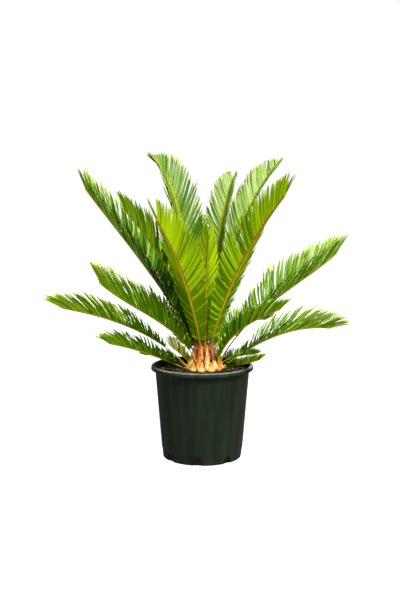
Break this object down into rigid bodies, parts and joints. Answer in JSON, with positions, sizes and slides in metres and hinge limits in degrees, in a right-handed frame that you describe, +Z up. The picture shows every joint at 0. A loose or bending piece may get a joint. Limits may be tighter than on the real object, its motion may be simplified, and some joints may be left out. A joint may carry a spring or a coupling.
{
  "type": "potted sago palm",
  "caption": "Potted sago palm: stiff, feather-like fronds arch up and out from a short scaly stem that stands in soil in a tapered round nursery pot with a rolled lip.",
  "frame": {"origin": "centre of the flat underside of the pot", "axes": "+Z up along the pot's axis, -Y towards the front of the plant as pictured, +X to the right seen from the front"},
  "size_m": [0.8, 0.6296, 0.8107],
  "materials": {
    "pot": "dark green-black moulded plastic, satin, with a paler worn lip",
    "soil": "dark red-brown bark potting mix, matte and lumpy",
    "trunk": "tan to orange dry scales over a cream stem, matte",
    "frond": "leathery green leaflets with a soft gloss, yellow-green to orange-brown midribs"
  },
  "bodies": {
    "root": {"pot": "pot", "soil": "soil", "trunk": "trunk", "frond_01": "frond", "frond_02": "frond", "frond_03": "frond", "frond_04": "frond", "frond_05": "frond", "frond_06": "frond", "frond_07": "frond", "frond_08": "frond", "frond_09": "frond", "frond_10": "frond", "frond_11": "frond", "frond_12": "frond", "frond_13": "frond", "frond_14": "frond", "frond_15": "frond", "frond_16": "frond", "frond_17": "frond", "frond_18": "frond", "frond_19": "frond", "frond_20": "frond", "frond_21": "frond", "frond_22": "frond", "frond_23": "frond"}
  },
  "joints": []
}
